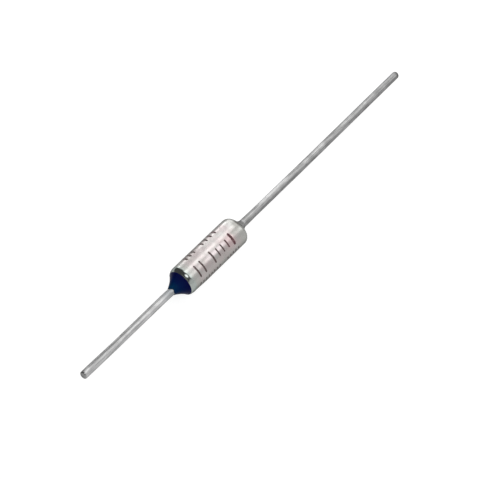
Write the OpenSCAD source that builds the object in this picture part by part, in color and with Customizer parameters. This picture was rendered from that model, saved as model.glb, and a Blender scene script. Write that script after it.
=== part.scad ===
// Axial thermal fuse of the pellet kind
// A drawn metal case carries a wire lead that is riveted into its closed end.
// Its open end is rolled in over a ceramic bushing, which insulates the second
// lead, and a resin cone seals it. Inside, a hard pellet keeps two coil springs
// compressed, so that a star contact joins the isolated lead to the case wall.
// When the pellet melts the springs relax and the contact leaves the lead for good.
// The axis of the part is X and the origin is the middle of the case.
// The closed end faces +X and the sealed end faces -X.

/* [Metal case] */
// Outside diameter of the case
case_d = 4; // [3.6:0.1:5]
// Length of the case, from the rolled rim to the closed end
case_len = 11; // [9.6:0.1:14]
// Wall thickness of the case
case_wall = 0.25; // [0.2:0.01:0.3]
// Thickness of the closed end
case_end_t = 0.45; // [0.35:0.05:0.7]
// Outside radius of the shoulder round the closed end
shoulder_r = 0.6; // [0.45:0.05:0.9]
// Outside bend radius of the rolled rim
lip_bend_r = 1.1; // [0.9:0.05:1.6]
// Angle through which the rim is rolled in
lip_angle = 36; // [24:1:44]

/* [Wire leads] */
// Diameter of both wire leads
lead_d = 1; // [0.8:0.05:1.2]
// Length of the riveted lead past the closed end
case_lead_len = 34.9; // [10:0.1:60]
// Length of the isolated lead past the rolled rim
isolated_lead_len = 17.7; // [8:0.1:60]
// Rounding of the cut end of the isolated lead
lead_tip_r = 0.3; // [0.05:0.05:0.35]
// Rounding of the cut end of the riveted lead, in wire radii
case_tip_round = 0.9; // [0.1:0.05:0.95]
// Diameter of the shoulder that is upset on each lead where it seats
lead_shoulder_d = 2; // [1.5:0.05:2.2]
// Length over which the shoulder of the riveted lead tapers to the wire
lead_taper_len = 1.1; // [0.8:0.05:3]
// Diameter of the rivet head, flush with the floor of the case
rivet_d = 1.9; // [1.5:0.05:2.4]
// Length of the straight part of the rivet hole
rivet_land = 0.15; // [0.05:0.05:0.3]

/* [Ceramic bushing] */
// Depth of the bushing's outer face below the rim
bushing_depth = 0.2; // [0.1:0.05:0.4]
// Length of the wide part, which the rolled rim grips
bushing_flange_len = 1.8; // [1.2:0.1:2.5]
// Diameter of the nose
bushing_nose_d = 1.8; // [1.5:0.05:2]
// Length of the nose
bushing_nose_len = 1.7; // [1:0.1:2.2]
// Rounding of the nose's edge
bushing_edge_r = 0.15; // [0.05:0.05:0.25]

/* [Resin seal] */
// Length of the resin cone past the rim
seal_len = 1.8; // [1:0.05:3]
// Radius of the hollow curve of the cone
seal_curve_r = 7; // [2:0.5:15]
// Thickness of the resin round the lead, at the tip of the cone
seal_tip_t = 0.07; // [0.03:0.01:0.15]
// Width of the bare metal that is left round the resin on the rim
seal_margin = 0.02; // [0.01:0.01:0.1]

/* [Contact] */
// Diameter of the contact head on the isolated lead
head_d = 1.6; // [1.3:0.05:1.9]
// Thickness of the contact head
head_t = 0.45; // [0.3:0.05:0.7]
// Rounding of the contact head's edge
head_edge_r = 0.1; // [0.02:0.01:0.14]
// Sheet thickness of the star contact
star_t = 0.15; // [0.1:0.01:0.25]
// Number of spring fingers on the star contact
finger_count = 8; // [6:1:10]
// Width of the slot between two fingers
finger_slot_w = 0.3; // [0.15:0.05:0.4]
// Lean of the fingers towards the sealed end
finger_angle = 45; // [25:1:60]

/* [Springs] */
// Wire diameter of the trip spring
trip_wire_d = 0.2; // [0.14:0.02:0.26]
// Turns of the trip spring
trip_turns = 4; // [3:1:6]
// Wire diameter of the compression spring
main_wire_d = 0.36; // [0.28:0.02:0.44]
// Least spacing of the compression spring's open turns, in wire diameters
main_spacing = 1.2; // [1.1:0.05:1.6]
// Spacing of the closed turn at each end of a spring, in wire diameters
closed_spacing = 1.04; // [1.02:0.01:1.1]

/* [Discs and pellet] */
// Thickness of each disc
disc_t = 0.25; // [0.15:0.05:0.4]
// Rounding of the edges of the discs
disc_edge_r = 0.06; // [0.02:0.01:0.07]
// Length of the pellet
pellet_len = 2.6; // [1.6:0.1:3.4]

/* [Clearances] */
// Radial clearance of the bushing in the case
bushing_gap = 0.03; // [0.01:0.01:0.06]
// Radial clearance of the isolated lead in the bushing
lead_gap = 0.03; // [0.01:0.01:0.06]
// Radial clearance of the star contact's fingers in the case
finger_gap = 0.02; // [0.01:0.01:0.05]
// Radial clearance of the discs and the pellet in the case
slide_gap = 0.08; // [0.03:0.01:0.15]
// Radial clearance of the compression spring in the case
main_gap = 0.2; // [0.1:0.02:0.3]
// Radial clearance of the trip spring round the nose and the contact head
trip_gap = 0.08; // [0.03:0.01:0.12]
// Width of the star contact's flat hub outside the trip spring
hub_margin = 0.05; // [0.02:0.01:0.1]
// Clearance at each end of the springs
coil_gap = 0.01; // [0.01:0.01:0.03]

/* [Hidden] */
$fn = 96;

// Radii
case_r = case_d / 2;
bore_r = case_r - case_wall;
lead_r = lead_d / 2;
lead_shoulder_r = lead_shoulder_d / 2;
case_tip_r = lead_r * case_tip_round;
nose_r = bushing_nose_d / 2;
head_r = head_d / 2;
rivet_r = rivet_d / 2;
slide_r = bore_r - slide_gap;
lip_len = lip_bend_r * sin(lip_angle);
rim_r = case_r - lip_bend_r + lip_bend_r * cos(lip_angle);
floor_edge_r = shoulder_r - case_wall;

// Places along the axis, from the sealed end to the closed end
rim_x = -case_len / 2;
lip_x = rim_x + lip_len;
isolated_tip_x = rim_x - isolated_lead_len;
seal_tip_x = rim_x - seal_len;
bushing_out_x = rim_x + bushing_depth;
bushing_step_x = bushing_out_x + bushing_flange_len;
bushing_in_x = bushing_step_x + bushing_nose_len;
contact_x = bushing_in_x + head_t;
front_disc_x = contact_x + star_t;
main_from_x = front_disc_x + disc_t;
end_x = case_len / 2;
floor_x = end_x - case_end_t;
pellet_x = floor_x - pellet_len;
rear_disc_x = pellet_x - disc_t;
case_tip_x = end_x + case_lead_len;

// Resin cone: a hollow arc from its tip on the lead to its foot on the rim
seal_tip_r = lead_r + seal_tip_t;
seal_foot_r = rim_r - seal_margin;
seal_chord = [seal_foot_r - seal_tip_r, seal_len];
seal_chord_len = norm(seal_chord);
seal_reach = sqrt(seal_curve_r ^ 2 - (seal_chord_len / 2) ^ 2);
seal_centre = [
    (seal_tip_r + seal_foot_r) / 2 + seal_reach * seal_chord[1] / seal_chord_len,
    (seal_tip_x + rim_x) / 2 - seal_reach * seal_chord[0] / seal_chord_len
];

// Coil springs
coil_steps = 20;
coil_sides = 8;
trip_mean_r = max(nose_r, head_r) + trip_gap + trip_wire_d / 2;
main_mean_r = bore_r - main_gap - main_wire_d / 2;
main_len = rear_disc_x - main_from_x;
main_turns = floor((main_len - 2 * coil_gap - main_wire_d) / (main_wire_d * main_spacing));

// Star contact
hub_r = trip_mean_r + trip_wire_d / 2 + hub_margin;
finger_tip_r = bore_r - finger_gap;
finger_rise = (finger_tip_r - hub_r) * tan(finger_angle);

// Turns a half section, radius along X and axis along Y, about the axis of the part
module turned() {
    rotate([0, 90, 0]) rotate_extrude() children();
}

// What lies outside a circle, in the quarter from its centre towards +X and -Y
module corner_cut(r) {
    difference() {
        translate([0, -2 * r]) square(2 * r);
        circle(r);
    }
}

// Half section of a round bar, with its outside edges rounded at both ends
module bar_section(r, from, to, round_from = 0, round_to = 0) {
    difference() {
        translate([0, from]) square([r, to - from]);
        if (round_from > 0)
            translate([r - round_from, from + round_from]) corner_cut(round_from);
        if (round_to > 0)
            translate([r - round_to, to - round_to]) mirror([0, 1]) corner_cut(round_to);
    }
}

// Half section of the case's outline, moved in by an inset, from its rolled rim to a flat end
module case_section(inset, to) {
    difference() {
        bar_section(case_r - inset, rim_x, to, 0, shoulder_r - inset);
        translate([case_r - lip_bend_r, lip_x]) corner_cut(lip_bend_r - inset);
    }
}

// Half section of the case's metal, with the hole for the rivet
module case_metal_section() {
    difference() {
        case_section(0, end_x);
        case_section(case_wall, floor_x);
        rivet_section();
    }
}

// Half section of the rivet through the closed end, and of its hole
module rivet_section() {
    polygon([
        [0, floor_x],
        [rivet_r, floor_x],
        [lead_r, end_x - rivet_land],
        [lead_r, end_x],
        [0, end_x]
    ]);
}

// Half section of the riveted lead's upset shoulder, a plain cone that runs out below the surface of the wire
module rivet_shoulder_section() {
    slope = (lead_shoulder_r - lead_r) / lead_taper_len;
    run_out = lead_taper_len / 8;
    polygon([
        [0, end_x],
        [lead_shoulder_r, end_x],
        [lead_r - slope * run_out, end_x + lead_taper_len + run_out],
        [0, end_x + lead_taper_len + run_out]
    ]);
}

// Half section of the isolated lead's upset shoulder, curved hollow, which fills the middle of the resin cone
module isolated_shoulder_section() {
    length = bushing_out_x - seal_tip_x;
    rise = lead_shoulder_r - lead_r;
    curve_r = (length ^ 2 + rise ^ 2) / (2 * rise);
    translate([0, bushing_out_x]) mirror([0, 1]) difference() {
        square([lead_shoulder_r + rise / 8, length]);
        translate([lead_r + curve_r, length]) circle(curve_r);
    }
}

// Round wire wound as a coil along X, with one closed turn at each end
module coil(mean_r, wire_d, from, length, turns) {
    closed_pitch = wire_d * closed_spacing;
    open_pitch = (length - wire_d - 2 * closed_pitch) / (turns - 2);
    steps = turns * coil_steps;
    points = [
        for (i = [0 : steps], j = [0 : coil_sides - 1])
            coil_point(i / coil_steps, 360 * j / coil_sides, mean_r, wire_d / 2,
                wire_d / 2 + coil_travel(i / coil_steps, turns, open_pitch, closed_pitch))
    ];
    sides = [
        for (i = [0 : steps - 1], j = [0 : coil_sides - 1])
            let (k = (j + 1) % coil_sides)
            [i * coil_sides + j, i * coil_sides + k, (i + 1) * coil_sides + k, (i + 1) * coil_sides + j]
    ];
    start = [for (j = [coil_sides - 1 : -1 : 0]) j];
    end = [for (j = [0 : coil_sides - 1]) steps * coil_sides + j];
    rotate([0, 90, 0]) translate([0, 0, from]) polyhedron(points, concat(sides, [start, end]));
}

// Way that the wire has gone along the axis after a number of turns
function coil_travel(turn, turns, open_pitch, closed_pitch) =
    min(turn, 1) * closed_pitch
    + max(0, min(turn, turns - 1) - 1) * open_pitch
    + max(0, turn - (turns - 1)) * closed_pitch;

// Point on the wire's surface, after a number of turns and at an angle round the wire
function coil_point(turn, side_angle, mean_r, wire_r, along) =
    let (r = mean_r + wire_r * cos(side_angle))
    [r * cos(360 * turn), r * sin(360 * turn), along + wire_r * sin(side_angle)];

module case() {
    color("silver") turned() case_metal_section();
}

module case_lead() {
    color("lightgray") turned() {
        rivet_section();
        rivet_shoulder_section();
        bar_section(lead_r, floor_x, case_tip_x, 0, case_tip_r);
    }
}

module isolated_lead() {
    color("lightgray") turned() {
        bar_section(lead_r, isolated_tip_x, contact_x, lead_tip_r, 0);
        isolated_shoulder_section();
        bar_section(head_r, bushing_in_x, contact_x, head_edge_r, head_edge_r);
    }
}

module ceramic_bushing() {
    color("ivory") turned() difference() {
        union() {
            intersection() {
                case_section(case_wall + bushing_gap, floor_x);
                translate([0, bushing_out_x]) square([case_r, bushing_flange_len]);
            }
            bar_section(nose_r, bushing_out_x, bushing_in_x, 0, bushing_edge_r);
        }
        translate([0, bushing_out_x]) square([lead_r + lead_gap, bushing_in_x - bushing_out_x]);
    }
}

module epoxy_seal() {
    color("midnightblue") turned() difference() {
        translate([0, seal_tip_x]) square([rim_r - seal_margin / 2, bushing_out_x - seal_tip_x]);
        translate(seal_centre) circle(seal_curve_r);
        case_metal_section();
        isolated_shoulder_section();
    }
}

module trip_spring() {
    color("gray") coil(trip_mean_r, trip_wire_d, bushing_step_x + coil_gap,
        contact_x - bushing_step_x - 2 * coil_gap, trip_turns);
}

module star_contact() {
    color("gainsboro") difference() {
        turned() polygon([
            [0, contact_x],
            [hub_r, contact_x],
            [finger_tip_r, contact_x - finger_rise],
            [finger_tip_r, contact_x + star_t - finger_rise],
            [hub_r, contact_x + star_t],
            [0, contact_x + star_t]
        ]);
        for (i = [0 : finger_count - 1])
            rotate([360 * i / finger_count, 0, 0]) finger_slot();
    }
}

// Slot between two fingers, round at its root beside the contact head
module finger_slot() {
    root_r = head_r + finger_slot_w / 2;
    rotate([0, 90, 0]) translate([0, 0, contact_x - finger_rise - star_t])
        linear_extrude(finger_rise + 3 * star_t) {
            translate([root_r, 0]) circle(d = finger_slot_w);
            translate([root_r, -finger_slot_w / 2]) square([case_r - root_r, finger_slot_w]);
        }
}

module front_disc() {
    color("burlywood") turned()
        bar_section(slide_r, front_disc_x, main_from_x, disc_edge_r, disc_edge_r);
}

module compression_spring() {
    color("dimgray") coil(main_mean_r, main_wire_d, main_from_x + coil_gap,
        main_len - 2 * coil_gap, main_turns);
}

module rear_disc() {
    color("burlywood") turned()
        bar_section(slide_r, rear_disc_x, pellet_x, disc_edge_r, disc_edge_r);
}

module thermal_pellet() {
    color("wheat") turned()
        bar_section(slide_r, pellet_x, floor_x, floor_edge_r, floor_edge_r);
}

case();
case_lead();
isolated_lead();
ceramic_bushing();
epoxy_seal();
trip_spring();
star_contact();
front_disc();
compression_spring();
rear_disc();
thermal_pellet();
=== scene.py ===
# Looks of an axial thermal fuse: a plated can with a rolled rim, a dark blue resin cone and two wire leads
# Lengths are in millimetres until a mesh is made. The axis of the part is X and the closed end faces +X.
# A turn is an angle about X, from +Z towards -Y.
import math
import random

import bmesh
import bpy
from mathutils import Matrix, Vector, noise


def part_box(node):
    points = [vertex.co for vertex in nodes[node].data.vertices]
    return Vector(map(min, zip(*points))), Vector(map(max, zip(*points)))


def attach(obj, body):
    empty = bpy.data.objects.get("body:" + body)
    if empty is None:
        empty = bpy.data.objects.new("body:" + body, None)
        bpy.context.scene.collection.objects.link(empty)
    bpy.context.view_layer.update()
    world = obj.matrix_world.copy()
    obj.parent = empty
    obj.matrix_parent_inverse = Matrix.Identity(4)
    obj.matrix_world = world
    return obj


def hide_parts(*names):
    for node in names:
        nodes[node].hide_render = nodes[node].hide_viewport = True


MM = 0.001

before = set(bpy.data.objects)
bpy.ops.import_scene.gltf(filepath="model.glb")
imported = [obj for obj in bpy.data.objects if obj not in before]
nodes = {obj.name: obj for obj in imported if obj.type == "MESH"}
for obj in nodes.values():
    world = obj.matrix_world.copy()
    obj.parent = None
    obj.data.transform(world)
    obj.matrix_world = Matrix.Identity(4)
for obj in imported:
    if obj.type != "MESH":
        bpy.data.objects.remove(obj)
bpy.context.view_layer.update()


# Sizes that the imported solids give
def span(node):
    """Lowest and highest x of a node, and its largest radius, in millimetres."""
    low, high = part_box(node)
    return low.x / MM, high.x / MM, max(high.y, high.z, -low.y, -low.z) / MM


RIM_X, END_X, CASE_R = span("case")
FLOOR_X, CASE_TIP_X, SHOULDER_R = span("case_lead")
ISOLATED_TIP_X, CONTACT_X, _ = span("isolated_lead")
SEAL_TIP_X, BUSHING_OUT_X, SEAL_FOOT_R = span("epoxy_seal")
_, BUSHING_IN_X, _ = span("ceramic_bushing")

# Sizes that the boxes don't show, as in the part's source
CASE_WALL = 0.25
CASE_SHOULDER_R = 0.6
LIP_BEND_R = 1.1
LIP_ANGLE = 36
LEAD_R = 0.5
LEAD_TIP_R = 0.3
CASE_TIP_R = 0.45
LEAD_TAPER_LEN = 1.1
RIVET_R = 0.95
RIVET_LAND = 0.15
HEAD_R = 0.8
HEAD_EDGE_R = 0.1
SEAL_CURVE_R = 7.0
SEAL_TIP_WALL = 0.07

# Sizes that follow from them
BORE_R = CASE_R - CASE_WALL
LIP_LEN = LIP_BEND_R * math.sin(math.radians(LIP_ANGLE))
LIP_X = RIM_X + LIP_LEN
LIP_CENTRE_R = CASE_R - LIP_BEND_R
LIP_INNER_R = LIP_BEND_R - CASE_WALL
LIP_INNER_ANGLE = math.degrees(math.asin(LIP_LEN / LIP_INNER_R))
SEAL_TIP_R = LEAD_R + SEAL_TIP_WALL


# Profiles, as lists of (x, r)
def arc(cx, cr, radius, start, end, steps):
    """Points on a circle about (cx, cr). Angles are in degrees from +r towards +x."""
    points = []
    for i in range(steps + 1):
        a = math.radians(start + (end - start) * i / steps)
        points.append((cx + radius * math.sin(a), cr + radius * math.cos(a)))
    return points


def straight(x0, r0, x1, r1, step):
    """Points between two ends, without the ends."""
    count = max(1, round(math.hypot(x1 - x0, r1 - r0) / step))
    return [(x0 + (x1 - x0) * i / count, r0 + (r1 - r0) * i / count) for i in range(1, count)]


def hollow_taper(x0, x1, r0, r1, steps):
    """Hollow curve from a foot of radius r0 at x0 to a wire of radius r1 at x1, level with the wire there."""
    length = x1 - x0
    rise = r0 - r1
    curve_r = (length**2 + rise**2) / (2 * rise)
    points = []
    for i in range(steps + 1):
        x = x0 + length * i / steps
        points.append((x, r1 + curve_r - math.sqrt(curve_r**2 - (x - x1) ** 2)))
    return points


# Unevenness
def ease(value, low, high):
    """Smooth step from 0 at low to 1 at high."""
    s = max(0, min(1, (value - low) / (high - low)))
    return s * s * (3 - 2 * s)


def hump(value, start, full, fading, end):
    """Smooth hump that rises from start to full and falls from fading to end."""
    return ease(value, start, full) * ease(value, end, fading)


def turned(x, r, turn):
    """Point at a radius and a turn about X."""
    return Vector((x, -r * math.sin(turn), r * math.cos(turn)))


def wave(x, r, turn, scale, seed):
    """Smooth noise on the surface, from about -1 to 1."""
    return noise.noise(turned(x, r, turn) * scale + Vector((seed, 2.7 * seed, -1.3 * seed)))


# Meshes
SHARP_ANGLE = math.radians(32)
BOW_TURN = math.radians(116.6)
ON_AXIS = 1e-6


def finish_mesh(name, bm):
    """Object from a bmesh, smooth except at its sharp edges."""
    bmesh.ops.recalc_face_normals(bm, faces=bm.faces)
    mesh = bpy.data.meshes.new(name)
    bm.to_mesh(mesh)
    bm.free()
    mesh.shade_smooth()
    mesh.set_sharp_from_angle(angle=SHARP_ANGLE)
    obj = bpy.data.objects.new(name, mesh)
    bpy.context.scene.collection.objects.link(obj)
    return obj


def bow(bends):
    """Function of x that says how far bends take the axis aside. Each is (how far, start, end)."""

    def aside(x):
        return sum(far * ease(x, start, end) for far, start, end in bends)

    return aside


def lathe(name, profile, segments, closed, skin, aside=bow(())):
    """Turns a profile about X.

    skin(x, r, turn) gives the place of a point, with the small unevenness of its surface.
    aside(x) is how far the axis has left X, towards BOW_TURN.
    """
    bm = bmesh.new()
    rings = []
    for x, r in profile:
        centre = turned(0, aside(x), BOW_TURN)
        if r < ON_AXIS:
            rings.append([bm.verts.new((turned(x, 0, 0) + centre) * MM)])
            continue
        ring = []
        for k in range(segments):
            turn = 2 * math.pi * k / segments
            ring.append(bm.verts.new((turned(*skin(x, r, turn), turn) + centre) * MM))
        rings.append(ring)
    pairs = list(zip(rings, rings[1:]))
    if closed:
        pairs.append((rings[-1], rings[0]))
    for one, two in pairs:
        for k in range(segments):
            j = (k + 1) % segments
            corners = [one[k % len(one)], one[j % len(one)], two[j % len(two)], two[k % len(two)]]
            bm.faces.new(list(dict.fromkeys(corners)))
    return finish_mesh(name, bm)


# Metal can
CASE_SEGMENTS = 192
NEAR = 0.02
CASE_DENT = 0.014
END_DENT = 0.075
END_DENT_TURN = (-95, -40, 15, 45)
END_DENT_X = (END_X - 1.2, END_X - 0.15)
END_DENT_R = (1.35, 1.6)
RIM_DENT = 0.06
RIM_DENT_TURN = (70, 105, 130, 165)
RIM_DENT_X = (RIM_X, RIM_X + 0.4, RIM_X + 1, RIM_X + 3)


def case_skin(x, r, turn):
    """The can is slightly dented, most of all on top of its closed end and low on its rim."""
    inside = r < BORE_R + NEAR and x < FLOOR_X + NEAR
    if inside or r < CASE_R - CASE_SHOULDER_R or x < RIM_X + NEAR:
        return x, r
    degrees = math.degrees(turn if turn < math.pi else turn - 2 * math.pi)
    dent = END_DENT * hump(degrees, *END_DENT_TURN) * ease(x, *END_DENT_X) * ease(r, *END_DENT_R)
    dent += RIM_DENT * hump(degrees, *RIM_DENT_TURN) * hump(x, *RIM_DENT_X)
    if x <= END_X - NEAR:
        broad = 0.35 * wave(0.7 * x, r, turn, 0.75, 3.1)
        fine = 0.15 * wave(x, r, turn, 1.9, 7.7)
        dent += CASE_DENT * (0.5 + broad + fine)
    return x, r - dent


def case_profile():
    shoulder_x = END_X - CASE_SHOULDER_R
    shoulder_r = CASE_R - CASE_SHOULDER_R
    corner_r = CASE_SHOULDER_R - CASE_WALL
    corner_x = FLOOR_X - corner_r
    points = arc(LIP_X, LIP_CENTRE_R, LIP_BEND_R, -LIP_ANGLE, 0, steps=18)
    points += straight(LIP_X, CASE_R, shoulder_x, CASE_R, step=0.12)
    points += arc(shoulder_x, shoulder_r, CASE_SHOULDER_R, 0, 90, steps=18)
    points += straight(END_X, shoulder_r, END_X, LEAD_R, step=0.15)
    points += [(END_X, LEAD_R), (END_X - RIVET_LAND, LEAD_R), (FLOOR_X, RIVET_R)]
    points += arc(corner_x, BORE_R - corner_r, corner_r, 90, 0, steps=8)
    points += straight(corner_x, BORE_R, LIP_X, BORE_R, step=1.5)
    points += arc(LIP_X, LIP_CENTRE_R, LIP_INNER_R, 0, -LIP_INNER_ANGLE, steps=12)
    return points


case = lathe("fuse_case", case_profile(), CASE_SEGMENTS, True, case_skin)

# Leads
LEAD_SEGMENTS = 64
LEAD_RIPPLE = 0.006
RIPPLE_STRETCH = 0.35
RIPPLE_SCALE = 1.3
CUT_SLANT = 0.05
CUT_TURN = 0.9
WIRE_STEP = 0.2
FLARE_STEP = 0.086
FLARE_SWELL = 0.03
FLARE_SWELL_X = (END_X + 3.4, END_X + LEAD_TAPER_LEN)
TIP_SWELL = 0.02
TIP_SWELL_X = (ISOLATED_TIP_X + 8, ISOLATED_TIP_X + 1)

isolated_bow = bow(((-0.078, RIM_X, RIM_X - 3.5), (-0.06, RIM_X - 11, ISOLATED_TIP_X)))
case_bow = bow(((0.022, END_X, END_X + 2.5), (-0.1, END_X + 10.5, CASE_TIP_X + 1.6)))
upset_shoulder = hollow_taper(BUSHING_OUT_X, SEAL_TIP_X, SHOULDER_R, LEAD_R, steps=12)


def lead_skin(seed):
    """Skin of a wire that is slightly rippled, with a slanting cut end."""

    def skin(x, r, turn):
        if RIM_X < x < END_X + NEAR:
            return x, r
        share = r / LEAD_R
        ripple = 0.5 + 0.5 * wave(RIPPLE_STRETCH * x, r, turn, RIPPLE_SCALE, seed)
        slant = abs(CUT_SLANT * share * math.cos(turn - CUT_TURN))
        if x < ISOLATED_TIP_X + LEAD_TIP_R:
            x += slant
        if x > CASE_TIP_X - CASE_TIP_R:
            x -= slant
        return x, r - LEAD_RIPPLE * ripple * min(1, share)

    return skin


def isolated_lead_profile():
    """A wire that is a little thicker towards its cut end, with an upset shoulder and a flat contact head."""
    flat_r = LEAD_R - LEAD_TIP_R
    round_x = ISOLATED_TIP_X + LEAD_TIP_R
    head_r = HEAD_R - HEAD_EDGE_R
    wire = [(ISOLATED_TIP_X, 0)]
    wire += straight(ISOLATED_TIP_X, 0, ISOLATED_TIP_X, flat_r, step=0.07)
    wire += arc(round_x, flat_r, LEAD_TIP_R, -90, 0, steps=10)
    wire += straight(round_x, LEAD_R, SEAL_TIP_X, LEAD_R, WIRE_STEP)
    points = [(x, r * (1 + TIP_SWELL / LEAD_R * ease(x, *TIP_SWELL_X))) for x, r in wire]
    points += reversed(upset_shoulder)
    points += [(BUSHING_OUT_X, LEAD_R), (BUSHING_IN_X, LEAD_R)]
    points += arc(BUSHING_IN_X + HEAD_EDGE_R, head_r, HEAD_EDGE_R, -90, 0, steps=5)
    points += arc(CONTACT_X - HEAD_EDGE_R, head_r, HEAD_EDGE_R, 0, 90, steps=5)
    return points + [(CONTACT_X, 0)]


def case_lead_profile():
    """A wire that is riveted into the can, with a flare, and a little thicker where it leaves the flare."""
    foot_x = END_X + LEAD_TAPER_LEN
    round_x = CASE_TIP_X - CASE_TIP_R
    points = [(FLOOR_X, 0), (FLOOR_X, RIVET_R), (END_X - RIVET_LAND, LEAD_R), (END_X, LEAD_R)]
    points += [(END_X, SHOULDER_R)]
    wire = straight(END_X, SHOULDER_R, foot_x, LEAD_R, FLARE_STEP)
    wire += straight(foot_x, LEAD_R, round_x, LEAD_R, WIRE_STEP)
    points += [(x, max(r, LEAD_R + FLARE_SWELL * ease(x, *FLARE_SWELL_X))) for x, r in wire]
    points += arc(round_x, LEAD_R - CASE_TIP_R, CASE_TIP_R, 0, 90, steps=12)
    return points + [(CASE_TIP_X, 0)]


isolated_lead = lathe(
    "fuse_isolated_lead", isolated_lead_profile(), LEAD_SEGMENTS, False, lead_skin(11.3), isolated_bow
)
case_lead = lathe("fuse_case_lead", case_lead_profile(), LEAD_SEGMENTS, False, lead_skin(23.9), case_bow)

# Resin cone
SEAL_SEGMENTS = 128
SEAL_WAVE = 0.06
SEAL_CREEP = 0.1
SEAL_TOP_LEN = 0.17
SEAL_TOP_TURN = math.radians(28)
SEAL_TOP_HALF = math.radians(55)
SEAL_LOW_LEN = 0.12
SEAL_LOW_TURN = math.radians(116)
SEAL_LOW_HALF = math.radians(60)
SEAL_LOW_FLAT = 0.05
AT_RIM = 0.001


def seal_skin(x, r, turn):
    """The resin ends in an uneven line, shorter on top and low in front, and its flank is a little wavy."""
    if x > RIM_X - AT_RIM:
        return x, r
    near_tip = min(1, (RIM_X - x) / (RIM_X - SEAL_TIP_X))
    middle = 4 * near_tip * (1 - near_tip)
    top = ease(abs(turn - SEAL_TOP_TURN), SEAL_TOP_HALF, 0)
    low = ease(abs(turn - SEAL_LOW_TURN), SEAL_LOW_HALF, 0)
    short = SEAL_TOP_LEN * top + SEAL_LOW_LEN * low
    short += SEAL_CREEP * (0.5 + 0.5 * wave(0, r, turn, 2.1, 5.3))
    hollow = SEAL_LOW_FLAT * low
    hollow += SEAL_WAVE * (0.5 + 0.5 * wave(x, r, turn, 1.1, 9.1))
    return x + near_tip**3 * short, r - middle * hollow


def seal_profile():
    chord_x = RIM_X - SEAL_TIP_X
    chord_r = SEAL_FOOT_R - SEAL_TIP_R
    chord = math.hypot(chord_x, chord_r)
    reach = math.sqrt(SEAL_CURVE_R**2 - (chord / 2) ** 2)
    cx = (SEAL_TIP_X + RIM_X) / 2 - reach * chord_r / chord
    cr = (SEAL_TIP_R + SEAL_FOOT_R) / 2 + reach * chord_x / chord
    start = math.degrees(math.atan2(SEAL_TIP_X - cx, SEAL_TIP_R - cr))
    end = math.degrees(math.atan2(RIM_X - cx, SEAL_FOOT_R - cr))
    flank = arc(cx, cr, SEAL_CURVE_R, start, end, steps=30)
    plug_angle = math.degrees(math.asin((LIP_X - BUSHING_OUT_X) / LIP_INNER_R))
    plug = arc(LIP_X, LIP_CENTRE_R, LIP_INNER_R, -LIP_INNER_ANGLE, -plug_angle, steps=5)
    edge_r = SEAL_TIP_WALL / 2
    tip = arc(SEAL_TIP_X + edge_r, LEAD_R + edge_r, edge_r, -180, 0, steps=6)
    return tip[1:-1] + flank[1:] + plug + upset_shoulder


seal = lathe("fuse_resin_seal", seal_profile(), SEAL_SEGMENTS, True, seal_skin, isolated_bow)

# Print: rows of plain marks
INK_DEPTH = 0.03
INK_PROUD = 0.004
INK_STEP = 0.06
INK_EDGE = (0.84, 1.06)
INK_END = 0.45
TALL = 1.8
SHORT = 1.2
MAIN_ROW_TURN = 40
BACK_ROW_TURN = -40
FRONT_ROW_TURN = 99
FRONT_ROW_START = -3.9
FRONT_ROW_PITCH = 0.52
FRONT_ROW_COUNT = 15
FRONT_ROW_BLANKS = (8, 9)
rng = random.Random(41)


def mark(bm, x, degrees, width, height):
    """One mark: a thin slab that follows the can, with soft ends and uneven edges."""
    half_angle = height / 2 / CASE_R
    rows = max(6, round(height / INK_STEP))
    outline = []
    for i in range(rows + 1):
        s = 2 * i / rows - 1
        half = width / 2 * (INK_END + (1 - INK_END) * math.sqrt(max(0, 1 - abs(s) ** 8)))
        left = half * rng.uniform(*INK_EDGE)
        right = half * rng.uniform(*INK_EDGE)
        outline.append((math.radians(degrees) + s * half_angle, (x - left, x, x + right)))
    layers = []
    for proud in (-INK_DEPTH, INK_PROUD):
        layer = []
        for turn, places in outline:
            row = []
            for px in places:
                r = case_skin(px, CASE_R, turn)[1] + proud
                row.append(bm.verts.new(turned(px, r, turn) * MM))
            layer.append(row)
        layers.append(layer)
    low, high = layers
    for i in range(rows):
        for k in range(2):
            bm.faces.new((high[i][k], high[i][k + 1], high[i + 1][k + 1], high[i + 1][k]))
            bm.faces.new((low[i][k], low[i + 1][k], low[i + 1][k + 1], low[i][k + 1]))
        bm.faces.new((low[i][0], high[i][0], high[i + 1][0], low[i + 1][0]))
        bm.faces.new((low[i][2], low[i + 1][2], high[i + 1][2], high[i][2]))
    for k in range(2):
        bm.faces.new((low[0][k], low[0][k + 1], high[0][k + 1], high[0][k]))
        bm.faces.new((low[rows][k], high[rows][k], high[rows][k + 1], low[rows][k + 1]))


ink = bmesh.new()
for x, width, height in (
    (-3.6, 0.26, TALL),
    (-2.6, 0.26, TALL),
    (-0.75, 0.26, TALL),
    (0.25, 0.22, SHORT),
    (1.1, 0.22, SHORT),
    (2.0, 0.22, SHORT),
    (2.95, 0.38, TALL),
):
    mark(ink, x, MAIN_ROW_TURN, width, height)
for x in (-3.2, -2.5, -1.8, -0.2, 0.6, 1.4, 2.2):
    mark(ink, x, BACK_ROW_TURN, width=0.3, height=1.4)
for i in range(FRONT_ROW_COUNT):
    if i not in FRONT_ROW_BLANKS:
        mark(ink, FRONT_ROW_START + FRONT_ROW_PITCH * i, FRONT_ROW_TURN, width=0.28, height=0.95)
case_print = finish_mesh("fuse_case_print", ink)

for piece, node, slot in (
    (case, "case", "plated_case"),
    (case_lead, "case_lead", "tinned_wire"),
    (isolated_lead, "isolated_lead", "tinned_wire"),
    (seal, "epoxy_seal", "blue_resin"),
):
    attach(piece, "root")
    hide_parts(node)
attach(case_print, "root")


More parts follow.
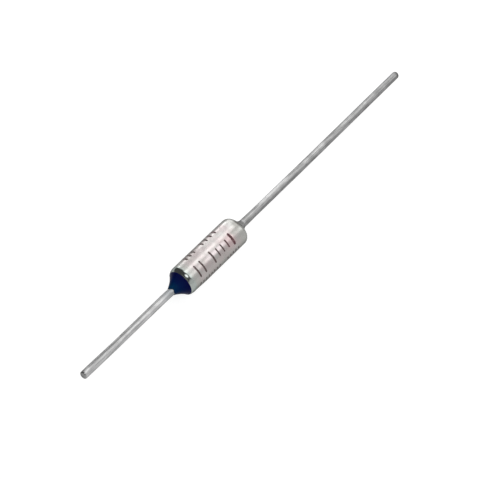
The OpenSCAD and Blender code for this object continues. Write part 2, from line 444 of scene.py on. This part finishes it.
# Node trees
class Graph:
    """Short ways to add nodes to a node tree."""

    def __init__(self, tree):
        self.tree = tree

    def put(self, socket, value):
        """Links an input to another node's output, or sets its value."""
        if isinstance(value, bpy.types.NodeSocket):
            self.tree.links.new(value, socket)
        else:
            socket.default_value = value

    def node(self, kind, inputs=None, **settings):
        """Adds a node, with values or other nodes' outputs at its inputs."""
        made = self.tree.nodes.new(kind)
        for key, value in settings.items():
            setattr(made, key, value)
        for key, value in (inputs or {}).items():
            self.put(made.inputs[key], value)
        return made

    def combine(self, operation, one, two):
        """One number from two."""
        return self.node("ShaderNodeMath", {0: one, 1: two}, operation=operation).outputs[0]

    def spread(self, value, low, high, to_low, to_high, curve="LINEAR"):
        """Maps low..high to to_low..to_high, and holds the ends."""
        inputs = {"Value": value, "From Min": low, "From Max": high, "To Min": to_low, "To Max": to_high}
        return self.node("ShaderNodeMapRange", inputs, interpolation_type=curve).outputs[0]

    def soft(self, value, low, high, to_low, to_high):
        """The same with a smooth step."""
        return self.spread(value, low, high, to_low, to_high, "SMOOTHSTEP")


class Look(Graph):
    """A material with a Principled shader."""

    def __init__(self, name):
        self.material = bpy.data.materials.new(name)
        self.material.use_nodes = True
        super().__init__(self.material.node_tree)
        self.shader = self.tree.nodes["Principled BSDF"]
        self.place = self.node("ShaderNodeTexCoord").outputs["Object"]

    def xyz(self):
        return self.node("ShaderNodeSeparateXYZ", {0: self.place}).outputs

    def noise(self, per_mm, detail=3, roughness=0.5, seed=0):
        """Noise on the object's own coordinates. per_mm is one number or one for each axis."""
        scale = per_mm if isinstance(per_mm, tuple) else (per_mm,) * 3
        mapping = self.node("ShaderNodeMapping", {
            "Vector": self.place,
            "Location": (seed, 2 * seed, 3 * seed),
            "Scale": tuple(s / MM for s in scale),
        })
        made = self.node("ShaderNodeTexNoise", {
            "Vector": mapping.outputs[0],
            "Scale": 1.0,
            "Detail": detail,
            "Roughness": roughness,
        })
        return made.outputs["Fac"]

    def uneven(self, noise, to_low, to_high):
        """Most of a noise's range, mapped to to_low..to_high."""
        return self.spread(noise, 0.3, 0.7, to_low, to_high)

    def ramp(self, value, *stops):
        """Colour ramp. Each stop is (place, colour)."""
        made = self.node("ShaderNodeValToRGB", {0: value})
        elements = made.color_ramp.elements
        while len(elements) < len(stops):
            elements.new(0.5)
        for element, (at, colour) in zip(elements, stops):
            element.position = at
            element.color = (*colour, 1)
        return made.outputs[0]

    def mix(self, factor, one, two, blend="MIX"):
        """Mixes two colours."""
        made = self.node("ShaderNodeMix", {0: factor}, data_type="RGBA", blend_type=blend)
        for at, colour in ((6, one), (7, two)):
            self.put(made.inputs[at], (*colour, 1) if isinstance(colour, tuple) else colour)
        return made.outputs[2]

    def dab(self, colour, patches):
        """Mixes patches with soft edges into the colour of a turned piece.

        Each is (along, around, strength, colour). along, in millimetres, and around, in radians, say where it
        starts, is full, begins to fade and ends.
        """
        x, y, z = self.xyz()
        turn = self.combine("ARCTAN2", self.combine("MULTIPLY", y, -1.0), z)
        for along, around, factor, tone in patches:
            for value, unit, (start, full, fading, end) in ((x, MM, along), (turn, 1, around)):
                factor = self.combine("MULTIPLY", self.soft(value, start * unit, full * unit, 0, 1), factor)
                factor = self.combine("MULTIPLY", self.soft(value, fading * unit, end * unit, 1, 0), factor)
            colour = self.mix(factor, colour, tone)
        return colour

    def bump(self, *layers):
        """Bump from (height, strength, depth in mm) layers, one on top of the other."""
        normal = None
        for height, strength, depth in layers:
            made = self.node("ShaderNodeBump", {
                "Height": height,
                "Strength": strength,
                "Distance": depth * MM,
            })
            if normal is not None:
                self.put(made.inputs["Normal"], normal)
            normal = made.outputs[0]
        self.put(self.shader.inputs["Normal"], normal)

    def finish(self, colour, roughness, **constants):
        """Ends the material. Constants are other inputs of the shader, with _ for a blank in their names."""
        self.put(self.shader.inputs["Base Color"], colour)
        self.put(self.shader.inputs["Roughness"], roughness)
        for key, value in constants.items():
            self.put(self.shader.inputs[key.replace("_", " ")], value)
        return self.material


# Patches of tone, painted highlights and painted shade, which may be open at an end
OPEN_START = (-99, -98)
OPEN_END = (98, 99)
ALL_ROUND = (*OPEN_START, *OPEN_END)

CASE_LEAD_TONE_AND_PAINTED_HIGHLIGHT = (
    # Pale on the flare, a painted highlight on top farther on, darker next to the flare, and dull at the cut
    # end
    ((END_X + 0.2, END_X + 0.5, END_X + 0.9, END_X + 1.3), (-0.1, 0.2, 0.7, 1.0), 0.5, (0.45, 0.45, 0.44)),
    ((END_X + 4, END_X + 5.3, END_X + 9, END_X + 11.5), (-0.9, -0.6, -0.05, 0.25), 0.7, (0.55, 0.55, 0.55)),
    ((END_X + 1.1, END_X + 1.5, END_X + 1.9, END_X + 3.6), ALL_ROUND, 0.45, (0.12, 0.12, 0.115)),
    ((CASE_TIP_X - 1.0, CASE_TIP_X - 0.2, *OPEN_END), ALL_ROUND, 0.7, (0.084, 0.084, 0.084)),
)
ISOLATED_LEAD_PAINTED_SHADE_AND_STAINS = (
    # Painted shade: a dark streak on top, and darker on top next to the resin. Stained next to the resin, and
    # dull at the cut end
    (
        (ISOLATED_TIP_X + 0.8, ISOLATED_TIP_X + 2, ISOLATED_TIP_X + 4.5, ISOLATED_TIP_X + 15),
        (-0.5, -0.3, 0.0, 0.22),
        0.75,
        (0.176, 0.176, 0.176),
    ),
    ((SEAL_TIP_X - 3.2, SEAL_TIP_X - 1.0, *OPEN_END), (-0.9, -0.5, 0.0, 0.3), 0.5, (0.16, 0.16, 0.16)),
    ((SEAL_TIP_X - 2.6, SEAL_TIP_X - 0.1, *OPEN_END), ALL_ROUND, 0.5, (0.19, 0.21, 0.225)),
    ((*OPEN_START, ISOLATED_TIP_X + 0.1, ISOLATED_TIP_X + 0.4), ALL_ROUND, 0.7, (0.154, 0.154, 0.154)),
)


# Materials
def plated_case():
    """Worn plating, with ink that has bled a little round the print, painted highlights on top and painted
    shade by the closed end. The rim is burnished and cooler.
    """
    look = Look("plated_case")
    cloud = look.noise(0.45, detail=4, roughness=0.6, seed=1)
    colour = look.ramp(cloud, (0.3, (0.32, 0.32, 0.30)), (0.7, (0.40, 0.40, 0.385)))
    streak = look.noise((0.25, 6, 6), detail=3, seed=5)
    colour = look.mix(look.spread(streak, 0.45, 0.75, 0, 0.35), colour, (0.29, 0.285, 0.27))
    bled = look.uneven(look.noise(1.1, seed=8), 0.15, 0.6)
    colour = look.dab(colour, (
        # Painted highlights: brighter on top, towards the closed end, and along the upper edge behind the rim
        ((-4.5, 1.0, 4.2, 4.7), (*OPEN_START, -0.05, 0.3), 0.85, (0.47, 0.47, 0.455)),
        ((-4.9, -4.6, -4.0, -2.5), (-1.3, -1.0, -0.4, -0.2), 0.5, (0.62, 0.62, 0.60)),
        # Ink that has bled, most of all at the last mark
        ((-4.6, -3.4, 3.4, 4.6), (-1.0, -0.5, 1.15, 1.75), bled, (0.42, 0.335, 0.345)),
        ((1.0, 2.6, 3.0, 3.7), (0.15, 0.55, 0.9, 1.3), 0.9, (0.46, 0.355, 0.358)),
        # A painted highlight in the middle, and painted shade next to the closed end
        ((-2.0, -0.9, 1.2, 2.6), (0.36, 0.46, 0.6, 0.78), 0.75, (0.50, 0.45, 0.455)),
        ((3.1, 3.6, 4.4, 4.9), (0.26, 0.38, 0.5, 0.66), 0.8, (0.27, 0.265, 0.25)),
        ((4.1, 4.6, *OPEN_END), (-0.12, 0.1, 0.36, 0.5), 0.8, (0.25, 0.245, 0.23)),
    ))
    rough = look.uneven(look.noise(1.6, detail=4, seed=3), 0.2, 0.34)
    x = look.xyz()[0]
    burnished = look.soft(x, (LIP_X - 0.1) * MM, (LIP_X + 0.4) * MM, 0.5, 1)
    rough = look.combine("MULTIPLY", rough, burnished)
    cool = look.soft(x, LIP_X * MM, (LIP_X + 0.3) * MM, 1, 0)
    colour = look.mix(cool, colour, (0.92, 1.0, 1.0), "MULTIPLY")
    look.bump(
        (look.noise((0.4, 14, 14), detail=2, seed=2), 0.25, 0.004),
        (look.noise(2.2, detail=3, seed=4), 0.35, 0.01),
    )
    return look.finish(colour, rough, Metallic=1.0, Specular_Tint=(0.34, 0.34, 0.34, 1))


def tinned_wire(name, seed, dark, light, line, patches):
    """Tinned copper with dark lines along it. dark, light and line are greys."""
    look = Look(name)
    cloud = look.noise(0.7, detail=4, roughness=0.6, seed=seed)
    colour = look.ramp(cloud, (0.3, (dark,) * 3), (0.7, (light,) * 3))
    streak = look.noise((0.3, 7, 7), detail=3, seed=seed + 5)
    colour = look.mix(look.spread(streak, 0.42, 0.68, 0, 0.7), colour, (line,) * 3)
    colour = look.dab(colour, patches)
    rough = look.uneven(look.noise((0.6, 3, 3), detail=3, seed=seed + 3), 0.24, 0.42)
    look.bump(
        (look.noise((0.3, 16, 16), detail=2, seed=seed + 2), 0.3, 0.004),
        (look.noise((0.8, 2.5, 2.5), detail=3, seed=seed + 4), 0.4, 0.012),
    )
    return look.finish(colour, rough, Metallic=1.0, Specular_Tint=(0.25, 0.25, 0.25, 1))


def blue_resin():
    """Dark resin that is thinner and greener towards its tip."""
    look = Look("blue_resin")
    shift = look.uneven(look.noise(0.8, seed=2), -0.35 * MM, 0.35 * MM)
    x = look.combine("ADD", look.xyz()[0], shift)
    colour = look.ramp(
        look.spread(x, SEAL_TIP_X * MM, RIM_X * MM, 0, 1),
        (0.0, (0.001, 0.027, 0.075)),
        (0.45, (0.0008, 0.0105, 0.068)),
        (1.0, (0.0015, 0.003, 0.050)),
    )
    rough = look.uneven(look.noise(3, seed=6), 0.26, 0.4)
    look.bump((look.noise(1.5, detail=2, seed=9), 0.3, 0.02))
    return look.finish(colour, rough, IOR=1.45, Specular_IOR_Level=0.03)


def print_ink():
    """Worn ink, brown near the rim and redder on the upper side towards the closed end."""
    look = Look("print_ink")
    wear = look.noise(2.4, detail=5, roughness=0.65, seed=4)
    brown = look.ramp(
        wear,
        (0.38, (0.055, 0.034, 0.031)),
        (0.56, (0.10, 0.074, 0.07)),
        (0.74, (0.28, 0.235, 0.23)),
    )
    red = look.ramp(
        wear,
        (0.38, (0.06, 0.010, 0.015)),
        (0.56, (0.11, 0.035, 0.043)),
        (0.74, (0.28, 0.19, 0.195)),
    )
    x, _, z = look.xyz()
    redder = look.combine(
        "MULTIPLY",
        look.soft(x, 0.8 * MM, 2.8 * MM, 0.15, 1),
        look.spread(z, 0, 1.0 * MM, 0, 1),
    )
    colour = look.mix(redder, brown, red)
    rough = look.uneven(look.noise(6, seed=2), 0.4, 0.6)
    look.bump((look.noise(8, seed=3), 0.3, 0.004))
    return look.finish(colour, rough, IOR=1.45)


def inner_metal(name, dark, light, smooth, rough, seed):
    look = Look(name)
    colour = look.ramp(look.noise(1.5, detail=3, seed=seed), (0.3, dark), (0.7, light))
    roughness = look.uneven(look.noise(4, seed=seed + 1), smooth, rough)
    look.bump((look.noise(9, seed=seed + 2), 0.25, 0.005))
    return look.finish(colour, roughness, Metallic=1.0)


def inner_solid(name, dark, light, smooth, rough, seed):
    look = Look(name)
    speckle = look.noise(5, detail=4, roughness=0.65, seed=seed)
    colour = look.ramp(speckle, (0.35, dark), (0.65, light))
    roughness = look.uneven(look.noise(8, seed=seed + 1), smooth, rough)
    look.bump((look.noise(14, detail=3, seed=seed + 2), 0.4, 0.008))
    return look.finish(colour, roughness, IOR=1.5)


def dress(obj, material):
    obj.data.materials.clear()
    obj.data.materials.append(material)


dress(case, plated_case())
# Both leads are the same tinned copper. The case lead's darker greys are painted shade
dress(case_lead, tinned_wire("tinned_wire_case", 2, 0.21, 0.36, 0.12, CASE_LEAD_TONE_AND_PAINTED_HIGHLIGHT))
dress(isolated_lead, tinned_wire("tinned_wire_isolated", 17, 0.38, 0.60, 0.22, ISOLATED_LEAD_PAINTED_SHADE_AND_STAINS))
dress(seal, blue_resin())
dress(case_print, print_ink())

# Looks of the pieces inside
spring_steel = inner_metal("spring_steel", (0.16, 0.16, 0.165), (0.26, 0.26, 0.265), 0.25, 0.4, 3)
disc_brass = inner_metal("disc_brass", (0.42, 0.28, 0.085), (0.52, 0.36, 0.12), 0.3, 0.45, 13)
silver = inner_metal("contact_silver", (0.62, 0.61, 0.58), (0.74, 0.73, 0.70), 0.15, 0.28, 33)
ceramic = inner_solid("white_ceramic", (0.66, 0.62, 0.54), (0.74, 0.71, 0.64), 0.6, 0.75, 21)
pellet = inner_solid("pellet_compound", (0.60, 0.52, 0.34), (0.72, 0.64, 0.45), 0.7, 0.85, 43)
for node, material in (
    ("ceramic_bushing", ceramic),
    ("trip_spring", spring_steel),
    ("star_contact", silver),
    ("front_disc", disc_brass),
    ("compression_spring", spring_steel),
    ("rear_disc", disc_brass),
    ("thermal_pellet", pellet),
):
    dress(nodes[node], material)

# Floor: grey to the light, and white where it is looked at
FLOOR_Z = -CASE_R - 0.004
FLOOR_SIZE = 1500
FLOOR_GLOW = 0.88


def pale_floor():
    look = Look("pale_floor")
    path = look.node("ShaderNodeLightPath").outputs
    seen = look.combine("MAXIMUM", path["Is Camera Ray"], path["Is Glossy Ray"])
    seen = look.combine("MAXIMUM", seen, path["Is Transmission Ray"])
    glow = look.node("ShaderNodeEmission", {"Strength": look.combine("MULTIPLY", seen, FLOOR_GLOW)})
    grey = look.ramp(look.noise(0.02, seed=1), (0.3, (0.21, 0.21, 0.21)), (0.7, (0.23, 0.23, 0.23)))
    look.finish(grey, 0.9, Specular_IOR_Level=0.0)
    both = look.node("ShaderNodeAddShader", {0: look.shader.outputs[0], 1: glow.outputs[0]})
    look.put(look.tree.nodes["Material Output"].inputs["Surface"], both.outputs[0])
    return look.material


bm = bmesh.new()
bmesh.ops.create_grid(bm, x_segments=4, y_segments=4, size=FLOOR_SIZE * MM / 2)
bmesh.ops.translate(bm, verts=bm.verts, vec=(0, 0, FLOOR_Z * MM))
floor = finish_mesh("floor", bm)
dress(floor, pale_floor())

# Light: a room that is bright on the far side and dim on the camera's side, and three soft boxes
DIM = 0.12
ZENITH = (-0.12, -0.33, 0.935)


def light_room():
    """World whose light depends on its direction, and which is white where the camera sees it."""
    world = bpy.data.worlds.new("room")
    bpy.context.scene.world = world
    world.use_nodes = True
    room = Graph(world.node_tree)
    direction = room.node("ShaderNodeTexCoord").outputs["Generated"]
    x, y, _ = room.node("ShaderNodeSeparateXYZ", {0: direction}).outputs
    far_side = room.combine("MULTIPLY", room.soft(x, 0.2, 0.4, 0, 1), room.soft(y, -0.85, -0.45, 0.85, 1.65))
    far_side = room.combine("MULTIPLY", far_side, room.soft(x, 0.61, 0.82, 1, 0.32))
    # Behind the part the far side is dark towards -X, where the isolated lead mirrors it
    behind = room.combine("MULTIPLY", room.soft(y, 0.2, 0.55, 0, 1), room.soft(x, 0.42, 0.469, -0.95, 0.42))
    far_side = room.combine("MULTIPLY", far_side, room.combine("ADD", behind, 1.0))
    front = room.soft(y, -0.9, -0.72, 0.8, 0)
    near_side = room.soft(x, -0.67, -0.52, 0.9, 0)
    upwards = room.node("ShaderNodeVectorMath", {0: direction, 1: ZENITH}, operation="DOT_PRODUCT")
    zenith = room.soft(upwards.outputs["Value"], 0.955, 0.985, 0, 2.8)
    level = far_side
    for other in (zenith, front, near_side):
        level = room.combine("MAXIMUM", level, other)
    level = room.combine("ADD", level, DIM)
    seen = room.node("ShaderNodeLightPath").outputs["Is Camera Ray"]
    background = room.tree.nodes["Background"]
    room.put(background.inputs["Color"], (1, 1, 1, 1))
    room.put(background.inputs["Strength"], room.combine("MAXIMUM", level, seen))


def soft_box(name, towards, distance, width, height, radiance):
    """Lamp that faces the origin, with its width along the axis of the part."""
    lamp = bpy.data.lights.new(name, "AREA")
    lamp.shape = "RECTANGLE"
    lamp.size = width * MM
    lamp.size_y = height * MM
    lamp.energy = radiance * math.pi * lamp.size * lamp.size_y
    obj = bpy.data.objects.new(name, lamp)
    bpy.context.scene.collection.objects.link(obj)
    out = Vector(towards).normalized()
    obj.location = out * distance * MM
    along = (Vector((1, 0, 0)) - out * out.x).normalized()
    obj.rotation_euler = Matrix((along, out.cross(along), out)).transposed().to_euler()


light_room()
soft_box("overhead", (0.486, 0.09, 0.869), distance=300, width=200, height=110, radiance=1.1)
soft_box("low front", (0.486, -0.552, 0.677), distance=300, width=200, height=95, radiance=0.65)
soft_box("low back", (0.486, 0.855, 0.18), distance=300, width=36, height=75, radiance=1.5)

# Camera
AZIMUTH = math.radians(-51.201)
ELEVATION = math.radians(51.402)
AIM = Vector((4.309, -1.608, 0))
SHIFT = Vector((-0.113, 0.1172, 0))
DISTANCE = 200
SENSOR_WIDTH = 36
LENS = 119.91
back = Vector((
    math.sin(AZIMUTH) * math.cos(ELEVATION),
    -math.cos(AZIMUTH) * math.cos(ELEVATION),
    math.sin(ELEVATION),
))
camera_data = bpy.data.cameras.new("camera")
camera_data.sensor_width = SENSOR_WIDTH
camera_data.lens = LENS
camera_data.clip_start = 0.001
camera_data.clip_end = 10
camera = bpy.data.objects.new("camera", camera_data)
facing = (-back).to_track_quat("-Z", "Y")
camera.rotation_euler = facing.to_euler()
camera.location = (AIM + back * DISTANCE + facing @ SHIFT) * MM
bpy.context.scene.collection.objects.link(camera)
bpy.context.scene.camera = camera
bpy.context.scene.view_settings.view_transform = "Standard"
